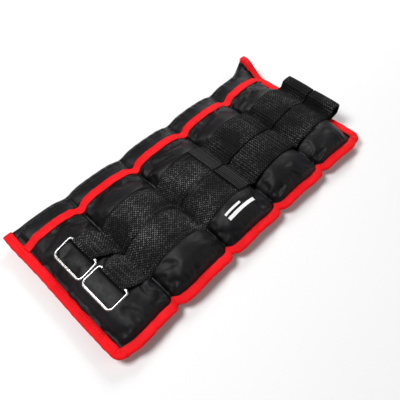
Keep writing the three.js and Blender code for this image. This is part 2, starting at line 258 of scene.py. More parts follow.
def carried(name, co, quads, material, nodes=(), flow=None):
    """Cuts a mesh that runs along the cuff at the middles of the pockets. A part between two middles is left where it
    is, attached to no pocket, and the ends ride on the outer pockets."""
    co = np.asarray(co, float)
    normals = vertex_normals(co, quads)
    flow = co if flow is None else np.asarray(flow, float)
    place = np.searchsorted(MIDDLES, co[quads][:, :, 0].mean(1))
    for k, label in enumerate(LABELS):
        mine = quads[place == k]
        if not len(mine):
            continue
        used, back = np.unique(mine, return_inverse=True)
        obj = new_piece(f"{name}_{label}", co[used], back.reshape(mine.shape), material, flow[used], normals[used])
        pockets = sorted({max(k, 1), min(k + 1, POCKETS)})
        if len(pockets) == 1:
            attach(obj, f"pocket_{pockets[0]}")
        else:
            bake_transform(obj)
        for node in nodes:
            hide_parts(*[n for n in (f"{node}_{i}" for i in pockets) if n in frame_nodes])


def tube_along(line, radius, sides=6):
    """Closed-end thread: rings about each point of a polyline, the end rings shrunk."""
    line = np.asarray(line, float)
    ahead = np.gradient(line, axis=0)
    ahead /= np.maximum(np.linalg.norm(ahead, axis=1, keepdims=True), 1e-9)
    side = np.cross(ahead, [0, 0, 1.0])
    short = np.linalg.norm(side, axis=1) < 1e-3
    side[short] = [0, 1, 0]
    side /= np.linalg.norm(side, axis=1, keepdims=True)
    up = np.cross(side, ahead)
    turn = np.linspace(0, 2 * np.pi, sides, endpoint=False)
    size = np.full(len(line), radius)
    size[[0, -1]] *= 0.35
    ring = side[:, None] * np.cos(turn)[None, :, None] + up[:, None] * np.sin(turn)[None, :, None]
    co = line[:, None] + ring * size[:, None, None]
    return co.reshape(-1, 3), grid_faces(len(line), sides, close=True)


def resample(line, step):
    line = np.asarray(line, float)
    length = np.r_[0, np.cumsum(np.linalg.norm(np.diff(line, axis=0), axis=1))]
    count = max(2, int(round(length[-1] / step)) + 1)
    at = np.linspace(0, length[-1], count)
    return np.stack([np.interp(at, length, line[:, k]) for k in range(line.shape[1])], 1), at


def stitches(line, pitch=3.1, share=0.68, radius=0.3, rise=0.22):
    """Threads lying along a line, each dipping into the cloth at its ends."""
    fine, at = resample(line, pitch / 8)
    co, faces, start = [], [], 0
    count = int(at[-1] // pitch)
    for k in range(count):
        a = k * pitch + 0.15 * pitch
        t = a + np.linspace(0, share * pitch, 5)
        p = np.stack([np.interp(t, at, fine[:, c]) for c in range(3)], 1)
        p[:, 2] += rise * np.array([-1.2, 0.6, 1, 0.6, -1.2])
        c, f = tube_along(p, radius, 5)
        co.append(c)
        faces.append(f + start)
        start += len(c)
    return np.concatenate(co), np.concatenate(faces)


def joined(parts):
    co, faces, start = [], [], 0
    for c, f in parts:
        co.append(c)
        faces.append(f + start)
        start += len(c)
    return np.concatenate(co), np.concatenate(faces)


# Materials -----------------------------------------------------------------------------------------------------


class Nodes:
    """Short forms for building one material's node tree."""

    def __init__(self, name, **values):
        self.material = bpy.data.materials.new(name)
        self.material.use_nodes = True
        self.tree = self.material.node_tree
        self.shader = self.tree.nodes["Principled BSDF"]
        for key, value in values.items():
            self.shader.inputs[key.replace("_", " ")].default_value = value

    def add(self, kind, **values):
        node = self.tree.nodes.new(kind)
        for key, value in values.items():
            setattr(node, key, value)
        return node

    def put(self, target, value):
        if isinstance(value, bpy.types.NodeSocket):
            self.tree.links.new(value, target)
        else:
            target.default_value = value

    def flow(self):
        node = self.add("ShaderNodeAttribute", attribute_name="flow")
        return node.outputs["Vector"]

    def math(self, operation, a, b=0.0):
        node = self.add("ShaderNodeMath", operation=operation)
        self.put(node.inputs[0], a)
        self.put(node.inputs[1], b)
        return node.outputs[0]

    def scaled(self, vector, scale):
        node = self.add("ShaderNodeVectorMath", operation="MULTIPLY")
        self.put(node.inputs[0], vector)
        self.put(node.inputs[1], scale)
        return node.outputs[0]

    def axis(self, vector, index):
        node = self.add("ShaderNodeSeparateXYZ")
        self.put(node.inputs[0], vector)
        return node.outputs[index]

    def wave(self, value, pitch, phase=0.0):
        """0 to 1 ridges of the given pitch in metres along a coordinate."""
        turned = self.math("ADD", self.math("MULTIPLY", value, 2 * math.pi / pitch), phase)
        return self.math("ADD", self.math("MULTIPLY", self.math("SINE", turned), 0.5), 0.5)

    def noise(self, vector, size, detail=3.0, rough=0.55):
        node = self.add("ShaderNodeTexNoise")
        self.put(node.inputs["Vector"], vector)
        self.put(node.inputs["Scale"], 1 / size)
        self.put(node.inputs["Detail"], detail)
        self.put(node.inputs["Roughness"], rough)
        return node.outputs["Fac"]

    def ramp(self, value, low, high, a, b):
        node = self.add("ShaderNodeMapRange")
        self.put(node.inputs["Value"], value)
        for key, number in (("From Min", low), ("From Max", high), ("To Min", a), ("To Max", b)):
            node.inputs[key].default_value = number
        return node.outputs["Result"]

    def mix(self, fac, a, b):
        node = self.add("ShaderNodeMix", data_type="RGBA")
        self.put(node.inputs["Factor"], fac)
        self.put(node.inputs[6], a)
        self.put(node.inputs[7], b)
        return node.outputs[2]

    def bump(self, height, depth, strength=1.0, normal=None):
        node = self.add("ShaderNodeBump")
        self.put(node.inputs["Height"], height)
        node.inputs["Distance"].default_value = depth
        node.inputs["Strength"].default_value = strength
        if normal is not None:
            self.put(node.inputs["Normal"], normal)
        return node.outputs["Normal"]

    def set(self, **sockets):
        for key, value in sockets.items():
            self.put(self.shader.inputs[key.replace("_", " ")], value)
        return self.material


def grey(value, blue=1.0):
    return (value, value, value * blue, 1.0)


def nylon(name, dark, light, rough):
    """Fine plain weave with soft wrinkles, and painted shade that turns the bottom of the seams black."""
    n = Nodes(name, Sheen_Weight=0.03, Sheen_Roughness=0.4, Specular_IOR_Level=0.18)
    n.shader.inputs["Sheen Tint"].default_value = (0.75, 0.78, 0.9, 1)
    at = n.flow()
    weave = n.math("MULTIPLY", n.wave(n.axis(at, 0), 0.0009), n.wave(n.axis(at, 1), 0.0009))
    wide = n.noise(at, 0.03, 3)
    fine = n.noise(at, 0.0045, 4, 0.65)
    colour = n.mix(n.ramp(wide, 0.3, 0.7, 0, 1), grey(dark, 1.12), grey(light, 1.2))
    colour = n.mix(n.ramp(weave, 0.2, 1, 0, 0.45), colour, grey(light * 1.9, 1.12))
    # Painted shade: within about 3 mm of each seam, and of the cuff's ends, the colour is pulled almost to black for
    # the shadow in the valleys.
    seam = n.math("COSINE", n.math("MULTIPLY", n.axis(at, 0), 2 * math.pi / (PITCH * MM)))
    colour = n.mix(n.ramp(seam, 0.955, 0.99, 0, 0.85), colour, grey(0.0004))
    crease = n.bump(fine, 0.0006, 0.5)
    normal = n.bump(weave, 0.00012, 0.6, crease)
    return n.set(Base_Color=colour, Roughness=n.ramp(fine, 0.3, 0.7, rough - 0.06, rough + 0.1), Normal=normal)


def ribbed_tape(name):
    """Red tape with fine ribs across its length."""
    n = Nodes(name, Roughness=0.6, Specular_IOR_Level=0.12)
    at = n.flow()
    rib = n.wave(n.axis(at, 0), 0.00085)
    soft = n.noise(at, 0.012, 3)
    colour = n.mix(n.ramp(soft, 0.3, 0.75, 0, 1), (0.80, 0.002, 0.006, 1), (1.0, 0.008, 0.014, 1))
    colour = n.mix(n.math("MULTIPLY", rib, 0.14), colour, (0.42, 0.0, 0.003, 1))
    normal = n.bump(rib, 0.00016, 0.6, n.bump(soft, 0.0008, 0.35))
    return n.set(Base_Color=colour, Normal=normal)


def webbing(name, rib_pitch, yarn_pitch, light, ridge):
    """Ribs across the strap, crossed by yarns, so that short bright floats lie in a staggered pattern. The grooves
    between the ribs get painted shade, as strong as ridge.
    """
    n = Nodes(name, Roughness=0.8, Specular_IOR_Level=0.1)
    at = n.flow()
    brick = n.add("ShaderNodeTexBrick", offset=0.5)
    n.put(brick.inputs["Vector"], n.scaled(at, (1 / rib_pitch, 1 / yarn_pitch, 0)))
    brick.inputs["Color1"].default_value = grey(light * 0.22)
    brick.inputs["Color2"].default_value = grey(light)
    brick.inputs["Mortar"].default_value = grey(0.004)
    brick.inputs["Scale"].default_value = 1.0
    brick.inputs["Mortar Size"].default_value = 0.27
    brick.inputs["Mortar Smooth"].default_value = 0.3
    brick.inputs["Bias"].default_value = -0.3
    brick.inputs["Brick Width"].default_value = 1.0
    brick.inputs["Row Height"].default_value = 1.0
    worn = n.noise(at, 0.03, 1, 0.4)
    colour = n.mix(n.ramp(worn, 0.35, 0.62, 0.0, 0.85), brick.outputs["Color"], grey(0.005))
    rib = n.wave(n.axis(at, 0), rib_pitch)
    # Painted shade: the colour is darkened in the grooves between the ribs, by the share ridge.
    colour = n.mix(n.math("MULTIPLY", n.math("SUBTRACT", 1.0, rib), ridge), colour, grey(0.003))
    high = n.math("ADD", n.math("MULTIPLY", n.math("SUBTRACT", 1.0, brick.outputs["Fac"]), 0.6), rib)
    return n.set(Base_Color=colour, Normal=n.bump(high, 0.0004, 0.9))


def hook_tape(name, flat=True):
    """Rows of hooks, with painted shade in the grooves between the rows and painted light on their ridges and on the
    hook tops. flat is false on a piece that has no flat position of its own.
    """
    n = Nodes(name, Roughness=0.7, Specular_IOR_Level=0.12)
    at = n.flow() if flat else n.add("ShaderNodeTexCoord").outputs["Object"]
    rows = n.wave(n.axis(at, 0), 0.0024)
    hooks = n.noise(at, 0.0007, 2)
    # Painted light and shade: the colour follows the relief, near black in the grooves between the rows and lighter on
    # the ridges and hook tops.
    colour = n.mix(n.ramp(rows, 0.35, 0.8, 0, 1), grey(0.002), grey(0.034))
    colour = n.mix(n.ramp(hooks, 0.5, 0.8, 0, 0.35), colour, grey(0.05))
    return n.set(Base_Color=colour, Normal=n.bump(rows, 0.0006, 0.9, n.bump(hooks, 0.0003, 0.6)))


def wire_metal(name):
    n = Nodes(name, Metallic=1.0)
    at = n.flow()
    spots = n.noise(at, 0.004, 4)
    colour = n.mix(n.ramp(spots, 0.35, 0.7, 0, 1), (0.52, 0.52, 0.51, 1), (0.36, 0.35, 0.34, 1))
    return n.set(Base_Color=colour, Roughness=n.ramp(spots, 0.3, 0.7, 0.2, 0.36), Normal=n.bump(spots, 0.0002, 0.2))


def thread(name, low, high):
    n = Nodes(name, Roughness=0.6, Sheen_Weight=0.3)
    at = n.flow()
    ply = n.wave(n.math("ADD", n.axis(at, 0), n.axis(at, 1)), 0.0006)
    return n.set(Base_Color=n.mix(ply, low, high), Normal=n.bump(ply, 0.0001, 0.6))


def printed(name):
    n = Nodes(name, Roughness=0.5)
    at = n.flow()
    wear = n.noise(at, 0.0016, 4, 0.7)
    colour = n.mix(n.ramp(wear, 0.62, 0.75, 0, 0.7), grey(0.9), grey(0.35))
    return n.set(Base_Color=colour, Normal=n.bump(wear, 0.0001, 0.4))


def sand_pouch(name):
    n = Nodes(name, Roughness=0.85)
    at = n.add("ShaderNodeTexCoord").outputs["Object"]
    lumps = n.noise(at, 0.003, 5, 0.7)
    return n.set(Base_Color=n.mix(lumps, grey(0.02), grey(0.09)), Normal=n.bump(lumps, 0.0008, 0.7))


NYLON = nylon("nylon_front", 0.0022, 0.008, 0.42)
LINING = nylon("nylon_back", 0.004, 0.009, 0.6)
TAPE_RED = ribbed_tape("binding_tape")
# The last number of each webbing is the strength of its painted shade in the grooves between the ribs.
ROW_WEBBING = webbing("webbing_sewn", 0.0027, 0.0014, 0.34, 0.2)
TAIL_WEBBING = webbing("webbing_tail", 0.0028, 0.0013, 0.30, 0.9)
HOOK = hook_tape("hook_tape")
CLOSURE = hook_tape("closure_tape", flat=False)
STEEL = wire_metal("wire")
THREAD_RED = thread("thread_red", (0.5, 0, 0.002, 1), (0.8, 0.01, 0.015, 1))
THREAD_BLACK = thread("thread_black", grey(0.006), grey(0.03))
PRINT = printed("print")
POUCH = sand_pouch("pouch")


# Front of the pockets: cloth simulation on a quilted sheet ------------------------------------------------------

CELLS = 24  # of the simulated sheet in each pocket
CLOTH_FRAMES = 20
MOST_RISE, MOST_SINK = 3.5, 1.0  # how far the simulated cloth may leave the designed bulge
GATHER, SEAM_GATHER, LUMPS = 0.55, 0.5, 0.35  # heights of the gathers and of the lumps of the filling


def inflate(us, ys, height, fixed, growth, cap, pressure):
    """Blows a sheet that is held at its fixed vertices. The cloth is a little larger than the sheet, so that it
    wrinkles where it is held. No point moves further than cap from where it starts."""
    uu, yy = np.meshgrid(us, ys, indexing="ij")
    start = np.stack([uu.ravel(), yy.ravel(), height(uu.ravel(), yy.ravel())], 1)
    start[:, 2] += 0.25 * grain(start, 9, 1.7) * (fixed.ravel() == 0)
    mesh = bpy.data.meshes.new("sheet")
    faces = grid_faces(len(us), len(ys))
    mesh.from_pydata((start * MM).tolist(), [], faces.tolist())
    mesh.update()
    if mesh.polygons[0].normal.z < 0:
        mesh.flip_normals()
    obj = bpy.data.objects.new("sheet", mesh)
    bpy.context.scene.collection.objects.link(obj)
    group = obj.vertex_groups.new(name="held")
    group.add([int(k) for k in np.flatnonzero(fixed.ravel())], 1.0, "REPLACE")
    cloth = obj.modifiers.new("cloth", "CLOTH")
    s = cloth.settings
    s.vertex_group_mass = "held"
    s.pin_stiffness = 1.0
    s.quality = 6
    s.mass = 0.15
    s.tension_stiffness = s.compression_stiffness = 18
    s.shear_stiffness = 6
    s.bending_stiffness = 2.0
    s.shrink_min = -growth
    s.use_pressure = True
    s.uniform_pressure_force = pressure
    s.effector_weights.gravity = 0
    cloth.collision_settings.use_collision = False
    scene = bpy.context.scene
    for f in range(1, CLOTH_FRAMES + 1):
        scene.frame_set(f)
    seen = obj.evaluated_get(bpy.context.evaluated_depsgraph_get()).to_mesh()
    co = np.zeros(len(start) * 3)
    seen.vertices.foreach_get("co", co)
    scene.frame_set(1)
    bpy.data.objects.remove(obj)
    moved = co.reshape(-1, 3) / MM - start
    size = np.linalg.norm(moved, axis=1, keepdims=True)
    return start + moved * np.minimum(1, cap / np.maximum(size, 1e-9))


def refined(co, rows, columns):
    """One cubic subdivision of a grid of points, along its columns and then along its rows."""
    g = np.asarray(co).reshape(rows, columns, -1)
    for _ in range(2):
        e = np.concatenate([2 * g[:1] - g[1:2], g, 2 * g[-1:] - g[-2:-1]])
        half = (9 * (e[1:-2] + e[2:-1]) - e[:-3] - e[3:]) / 16
        out = np.empty((2 * g.shape[0] - 1, *g.shape[1:]))
        out[::2], out[1::2] = g, half
        g = out.transpose(1, 0, 2)
    return g


def rows_y(row, u):
    """Middle of a strap at u: the pair spreads towards the wire loops."""
    spread = np.clip((PITCH - u) / 13, 0, 1)
    return STRAPS_Y + row * (STRAP_PITCH + (LOOP_PITCH - STRAP_PITCH) * spread) / 2


def strap_z(u):
    """Lower face of the sewn straps."""
    u = np.asarray(u, float)
    return front_z(u, np.full_like(u, STRAPS_Y), STRAP_VALLEY) + STRAP_GAP


def strap_cover(u, y):
    """1 where a sewn strap covers the front, fading to 0 just outside it."""
    out = np.zeros_like(u)
    for row in (1, -1):
        inside = STRAP_HALF - 0.6 - np.abs(y - rows_y(row, u))
        out = np.maximum(out, np.clip(inside / 2.5 + 1, 0, 1))
    return out * smooth((u - BAR_U + 6) / 6)


def puckers(u, y, edge, spacing, seed):
    """Small folds that run away from a gathered edge at distance edge."""
    wave = np.sin(2 * np.pi * u / spacing + 2.2 * grain(np.stack([u, y * 0.2], 1), 14, seed))
    return wave * np.exp(-(edge / 7.0) ** 2) * np.clip(edge / 1.5, 0, 1)


def pull_folds(u, y):
    """Folds that fan out from the near end of each seam, where the binding draws the cloth in."""
    height, reach, folds = 1.5, 22, 7
    out = np.zeros_like(u)
    for k, s in enumerate(SEAMS):
        du, dy = u - s, y - NEAR - TAPE
        r = np.hypot(du, dy)
        angle = np.arctan2(du, np.maximum(dy, 0.01))
        fan = np.sin(folds * np.abs(angle) + 1.3 * k + np.where(du > 0, 0.8, 0)) * np.abs(np.sin(angle)) ** 0.7
        out += height * fan * np.exp(-((r / reach) ** 2)) * smooth(r / 7) * (dy > 0)
    return out


def front_sheet():
    """The cover of the pockets: simulated, then gathered at its edges and pressed flat under the straps."""
    us = np.linspace(0, LENGTH, POCKETS * CELLS + 1)
    us[0], us[-1] = 1.2, LENGTH - 1.2
    ys = np.linspace(NEAR + 1.2, MOUTH - 1, 51)
    fixed = np.zeros((len(us), len(ys)))
    fixed[[0, 1, 2, -3, -2, -1], :] = 1
    fixed[:, [0, 1, 2, -3, -2, -1]] = 1
    fixed[CELLS:-1:CELLS, :] = 1
    co = inflate(us, ys, front_z, fixed, growth=0.03, cap=4.0, pressure=4)
    g = refined(co, len(us), len(ys))
    rows, columns = g.shape[:2]
    co = g.reshape(-1, 3)
    u, y = co[:, 0], co[:, 1]
    z0 = front_z(u, y)
    co[:, 2] = z0 + MOST_RISE * np.tanh((co[:, 2] - z0) / MOST_RISE)
    co[:, 2] = np.maximum(co[:, 2], z0 - MOST_SINK)
    near = y - NEAR - TAPE
    co[:, 2] += GATHER * puckers(u, y, near, 6.5, 3.1)
    co[:, 2] += SEAM_GATHER * puckers(y, u, seam_distance(u), 8.0, 5.3) * (near > 0)
    co[:, 2] += LUMPS * grain(co, 22, 9.1) * np.clip(near / 10, 0, 1)
    co[:, 2] += pull_folds(u, y)
    cover = strap_cover(u, y)
    co[:, 2] = np.minimum(co[:, 2], strap_z(u) - STRAP_GAP + (1 - cover) * 8)
    in_tape, steepest = 8.2, 3
    held = np.minimum(np.minimum(u, LENGTH - u), y - NEAR) - in_tape
    co[:, 2] = np.clip(co[:, 2], TOP_WEB - 0.6, TOP_WEB + 0.1 + steepest * np.maximum(held, 0))
    return trimmed(co), rows, columns


front, front_rows, front_columns = front_sheet()
carried("front", front, grid_faces(front_rows, front_columns), NYLON, ["front_cover"])


FLAP_SEAM = 13  # from the mouth to the row of stitches along the flap


def flap_sheet():
    """The panel beyond the far tape, which falls from the mouth to the edge, with a rounded lip."""
    us = np.linspace(0, LENGTH, POCKETS * CELLS * 2 + 1)
    us[0], us[-1] = 1.2, LENGTH - 1.2
    v = np.linspace(0, 1, 29)
    uu, vv = np.meshgrid(us, v, indexing="ij")
    u = uu.ravel()
    y = MOUTH - 4 + (far_edge(u) - MOUTH + 4) * vv.ravel()
    z = flap_z(u, y) - 1.4 * smooth((MOUTH + 2 - y) / 3)
    edge = far_edge(u) - y
    out = smooth((y - MOUTH) / 8) * smooth(edge / 6)
    lumps, gathers, groove = 1.3, 0.8, 0.7
    z += out * (lumps * grain(np.stack([u, y], 1), 15, 2.2) + gathers * puckers(u, y, edge, 9, 7.7))
    z -= groove * np.exp(-(((y - MOUTH - FLAP_SEAM) / 1.1) ** 2)) * (seam_distance(u) > 3)
    z += corner_lift(u, y)
    top = np.stack([u, y, z], 1).reshape(len(us), len(v), 3)
    turn = np.linspace(np.pi / 2, -np.pi / 2, 7)[1:]
    lip = top[:, -1:, :] + np.stack([np.zeros(6), 0.75 * np.cos(turn), 0.75 * np.sin(turn) - 0.75], 1)[None]
    g = np.concatenate([top, lip], 1)
    return g.reshape(-1, 3), len(us), g.shape[1]


flap, flap_rows, flap_columns = flap_sheet()
carried("flap", flap, grid_faces(flap_rows, flap_columns), NYLON, ["mouth_flap"])


def back_sheet():
    """The lining: each pocket rests on the floor and rises to the seams round it."""
    us = np.linspace(0, LENGTH, POCKETS * CELLS * 2 + 1)
    us[0], us[-1] = 1.2, LENGTH - 1.2
    v = np.linspace(0, 1, 70)
    uu, vv = np.meshgrid(us, v, indexing="ij")
    u = uu.ravel()
    y = NEAR + 1.2 + (far_edge(u) - NEAR - 1.4) * vv.ravel()
    z = back_z(u, y)
    bulge = np.clip(1 - z / BACK_WEB, 0, 1)
    crease = 0.6 * puckers(u, y, y - NEAR - TAPE, 7, 4.4) + 0.6 * puckers(y, u, seam_distance(u), 9, 8.8)
    z = np.maximum(0.12, z + crease + 0.35 * bulge * (1 + grain(np.stack([u, y], 1), 13, 6.6)))
    z += corner_lift(u, y) * (y > MOUTH - 6)
    co = np.stack([u, y, np.minimum(z, BACK_WEB + corner_lift(u, y))], 1)
    return trimmed(co), len(us), len(v)


back, back_rows, back_columns = back_sheet()
carried("back", back, grid_faces(back_rows, back_columns)[:, ::-1], LINING, ["back_cover"])


# Binding tape ---------------------------------------------------------------------------------------------------


def tape_section(slot, width, thick=0.7):
    """(across, up) points round a folded tape, from its lower inner edge round the outside to the upper one."""
    o = slot / 2 + thick
    turn = np.linspace(-np.pi / 2, np.pi / 2, 7)
    outer = [(width, -o), (width * 0.7, -o - 0.15), (width * 0.4, -o - 0.2)]
    outer += [(o * 1.1 - o * 1.1 * math.cos(a), o * math.sin(a)) for a in turn]
    outer += [(width * 0.4, o + 0.25), (width * 0.7, o + 0.2), (width - 0.4, o), (width, o - 0.3)]
    inner = [(width, slot / 2 - 0.1), (width * 0.5, slot / 2), (1.6, slot / 2)]
    inner += [(1.6, -slot / 2), (width * 0.5, -slot / 2), (width, -slot / 2)]
    return np.array(outer + inner)


def sweep_tape(path, inward, section, wobble=0.35, seed=0.0):
    """Carries a section along a path. inward holds the horizontal direction from the edge into the cloth."""
    fine, at = resample(np.hstack([path, inward]), 1.35)
    line, inw = fine[:, :3], fine[:, 3:]
    inw = inw / np.linalg.norm(inw, axis=1, keepdims=True)
    ripple = np.array([[noise.noise(Vector((s / 5.5, k * 3.1, seed))) for k in range(3)] for s in at])
    ripple += 0.6 * np.array([[noise.noise(Vector((s / 17, k * 5.7, seed + 9))) for k in range(3)] for s in at])
    co = line[:, None] + inw[:, None] * (section[None, :, 0:1] + wobble * 1.3 * ripple[:, None, 0:1])
    up = section[None, :, 1:2] * (1 + 0.12 * ripple[:, None, 1:2]) + wobble * ripple[:, None, 2:3]
    co = co + np.array([0, 0, 1.0]) * up
    flow = np.empty((len(line), len(section), 2))
    flow[:, :, 0] = at[:, None]
    flow[:, :, 1] = np.cumsum(np.r_[0, np.linalg.norm(np.diff(section, axis=0), axis=1)])[None]
    return co, flow


def end_caps(faces, rows, columns):
    """Closes the ends of a swept tape with quads between its outer and inner lines."""
    half = columns // 2
    caps = []
    for base, turn in ((0, 1), ((rows - 1) * columns, -1)):
        for k in range(half - 1):
            quad = [base + k, base + k + 1, base + columns - 2 - k, base + columns - 1 - k]
            caps.append(quad[::turn])
    return np.concatenate([faces, np.array(caps)])


EDGE_SLOT = 2.1
SECTION = tape_section(EDGE_SLOT, TAPE)
UPPER_STITCH = 11  # the section's point near the tape's upper inner edge


def near_path():
    u = np.linspace(CORNER - 1.5, LENGTH - CORNER + 1.5, 400)
    shift, rise = near_shift(u)
    return np.stack([u, NEAR + shift, SEAM_Z + rise], 1), np.tile([0.0, 1.0, 0.0], (len(u), 1))


def far_path():
    u = np.linspace(8.5, LENGTH - 8.5, 500)
    d = seam_distance(u)
    edge = front_z(u, np.full_like(u, MOUTH - 1))
    edge = np.convolve(np.pad(edge, 6, mode="edge"), np.ones(13) / 13, "valid")
    pull = 2.4  # of each seam on the tape
    y = MOUTH - pull * np.exp(-((d / 5) ** 2)) + 1.0
    z = edge - 0.2 + corner_lift(u, y) * 0.8
    return np.stack([u, y, z], 1), np.tile([0.0, -1.0, 0.0], (len(u), 1))


def carry_tape(name, path, inward, section, nodes, seed, flip):
    co, flow = sweep_tape(path, inward, section, seed=seed)
    rows, columns = co.shape[:2]
    # Points at the middles of the pockets let the tape be cut there
    for m in MIDDLES:
        k = int(np.argmin(np.abs(co[:, 0, 0] - m)))
        co[k, :, 0] += m - co[k, 0, 0]
    faces = end_caps(grid_faces(rows, columns, close=True), rows, columns)
    faces = faces[:, ::-1] if flip else faces
    carried(name, co.reshape(-1, 3), faces, TAPE_RED, nodes, flow.reshape(-1, 2))
    return co


near_tape = carry_tape("tape_near", *near_path(), SECTION * 0.97, ["binding_near"], 1.0, False)
far_tape = carry_tape("tape_far", *far_path(), tape_section(1.3, TAPE), ["binding_far"], 2.0, True)
c, f = joined([stitches(near_tape[:, UPPER_STITCH]), stitches(far_tape[:, UPPER_STITCH])])
carried("tape_stitches", c, f, THREAD_RED)


def end_path(side):
    """Round the near corner and along one end, as (u, y, z) and the inward direction. side is -1 at the left."""
    a = np.linspace(0, np.pi / 2, 12)
    end = 0 if side < 0 else LENGTH
    u = end - side * CORNER * (1 - np.sin(a))
    y = NEAR + CORNER * (1 - np.cos(a))
    inward = np.stack([-side * np.sin(a), np.cos(a), 0 * a], 1)
    run = np.linspace(NEAR + CORNER + 4, far_edge(np.array([float(end)]))[0] + 0.6, 60)
    sway = 0.9 * np.sin((run - NEAR) / 23.0)
    u = np.r_[u, end + side * sway * 0.5]
    y = np.r_[y, run]
    inward = np.vstack([inward, np.tile([-side, 0.0, 0.0], (len(run), 1))])
    z = SEAM_Z + corner_lift(u, y) * smooth((y - MOUTH + 10) / 12) + 0.5 * np.sin(y / 15)
    return np.stack([u, y, z], 1), inward


for side, name, body in ((-1, "left", "pocket_1"), (1, "right", f"pocket_{POCKETS}")):
    co, flow = sweep_tape(*end_path(side), SECTION, seed=4.0 + side)
    rows, columns = co.shape[:2]
    faces = end_caps(grid_faces(rows, columns, close=True), rows, columns)
    faces = faces[:, ::-1] if side < 0 else faces
    tape = new_piece(f"tape_{name}_end", co.reshape(-1, 3), faces, TAPE_RED, flow.reshape(-1, 2))
    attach(tape, body)
    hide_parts(f"binding_{name}_end")
    c, f = stitches(co[:, UPPER_STITCH])
    sewn = new_piece(f"tape_{name}_end_stitches", c, f, THREAD_RED)
    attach(sewn, body)


# Straps ---------------------------------------------------------------------------------------------------------


def strap_section(half, thick):
    """(across, up) points round a flat strap with soft edges."""
    turn = np.linspace(np.pi / 2, -np.pi / 2, 5)[1:-1]
    top = [(t * (half - 0.7), thick) for t in np.linspace(-1, 1, 13)]
    right = [(half - 0.7 + 0.7 * math.cos(a), thick / 2 + thick / 2 * math.sin(a)) for a in turn]
    bottom = [(t * (half - 0.7), 0) for t in np.linspace(1, -1, 7)]
    left = [(-(half - 0.7) - 0.7 * math.cos(a), thick / 2 - thick / 2 * math.sin(a)) for a in turn]
    return np.array(top + right + bottom + left)


def strap(path, row, section, ridge=0.0, ridge_pitch=2.7, sag=0.0, middle=None):
    """Sweeps a strap's section along (u, z) points of its lower face."""
    line, at = resample(path, ridge_pitch / 4 if ridge else 1.1)
    ahead = np.gradient(line, axis=0)
    ahead /= np.linalg.norm(ahead, axis=1, keepdims=True)
    up = np.stack([-ahead[:, 1], ahead[:, 0]], 1)
    y0 = rows_y(row, line[:, 0]) if middle is None else np.full(len(line), middle)
    across, rise = section[None, :, 0], section[None, :, 1]
    share = np.abs(across) / STRAP_HALF
    rise = rise + ridge * np.sin(2 * np.pi * at / ridge_pitch)[:, None] * (rise > 0) - sag * share**3
    co = np.empty((len(line), section.shape[0], 3))
    co[:, :, 0] = line[:, 0:1] + up[:, 0:1] * rise
    co[:, :, 1] = y0[:, None] + across
    co[:, :, 2] = line[:, 1:2] + up[:, 1:2] * rise
    flow = np.empty((*co.shape[:2], 2))
    flow[:, :, 0] = at[:, None] + 400 * (row < 0)
    flow[:, :, 1] = across
    return co, flow


STRAP = strap_section(STRAP_HALF, STRAP_THICK)


def eased(points, count=10):
    """A smooth curve through (u, z) points."""
    p = np.asarray(points, float)
    p = np.vstack([2 * p[0] - p[1], p, 2 * p[-1] - p[-2]])
    out = []
    for a, b, c, d in zip(p[:-3], p[1:-2], p[2:-1], p[3:]):
        t = np.linspace(0, 1, count, endpoint=False)[:, None]
        out.append(0.5 * (2 * b + (c - a) * t + (2 * a - 5 * b + 4 * c - d) * t**2 + (3 * b - a - 3 * c + d) * t**3))
    return np.vstack([*out, p[-2:-1]])


def capped(co):
    rows, columns = co.shape[:2]
    return end_caps(grid_faces(rows, columns, close=True), rows, columns)


BASE_END = 313.0
WRAP = 1.85  # inner radius of the strap round the wire
KEEPER_END = 53.0
WIRE_SHARE = 0.86  # of its width, to which the strap gathers round the wire


def sewn_strap():
    """From the folded end under the wire's keeper, round the wire, and along the front to the right end."""
    under = [(u, float(strap_z(u))) for u in np.linspace(KEEPER_END, BAR_U + 4, 5)]
    turn = np.linspace(-np.pi / 2 - 0.2, -np.pi * 1.5, 12)
    knuckle = [(BAR_U + WRAP * math.cos(a), BAR_Z + WRAP * math.sin(a)) for a in turn]
    first = np.array(under + knuckle)
    over_u = np.linspace(BAR_U + 3, BASE_END, 330)
    lift = 1.75 * smooth((58 - over_u) / 5) + 2.0 * smooth((BAR_U + 9 - over_u) / 9)
    over = np.stack([over_u, strap_z(over_u) + lift], 1)
    return first, over


first, over = sewn_strap()
for row, label in ((1, "far"), (-1, "near")):
    # The part under the wire has its thickness on the side away from the wire
    fold, fold_flow = strap(first, row, STRAP * [WIRE_SHARE, -1])
    line = np.vstack([first[-1:], over])
    top, top_flow = strap(line, row, STRAP, ridge=0.07, ridge_pitch=1.9, sag=0.35)
    narrow = WIRE_SHARE + (1 - WIRE_SHARE) * smooth((top[:, :1, 0] - BAR_U - 2) / 10)
    middle = top[:, :, 1].mean(1, keepdims=True)
    top[:, :, 1] = middle + (top[:, :, 1] - middle) * narrow
    for m in MIDDLES[1:]:
        k = int(np.argmin(np.abs(top[:, 0, 0] - m)))
        top[k, :, 0] += m - top[k, 0, 0]
    carried(f"webbing_{label}", top.reshape(-1, 3), capped(top)[:, ::-1], ROW_WEBBING,
            [f"webbing_{label}"], top_flow.reshape(-1, 2))
    keeper = new_piece(f"keeper_{label}", fold.reshape(-1, 3), capped(fold), ROW_WEBBING, fold_flow.reshape(-1, 2))
    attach(keeper, "pocket_1")
    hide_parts(f"strap_keeper_{label}")
    lines = [stitches(top[(top[:, 0, 0] > 44), k] + [0, 0, 0.05], radius=0.25) for k in (1, 11)]
    for u in (44.5, 50.0, 56.5):
        k = int(np.argmin(np.abs(top[:, 6, 0] - u)))
        lines.append(stitches(top[k, 1:12] + [0, 0, 0.05], pitch=2.6, radius=0.3))
    c, f = joined(lines)
    carried(f"webbing_{label}_stitches", c, f, THREAD_BLACK)


# Free straps and their folds
TAIL_START = 190.0
TIP_LENGTH = 14.0
SLACK_REACH, SLACK_RISE = 13, 5.0  # of a free strap over a seam
LAYER = STRAP_GAP + STRAP_THICK + 0.45  # from the cloth to the free strap over the sewn one


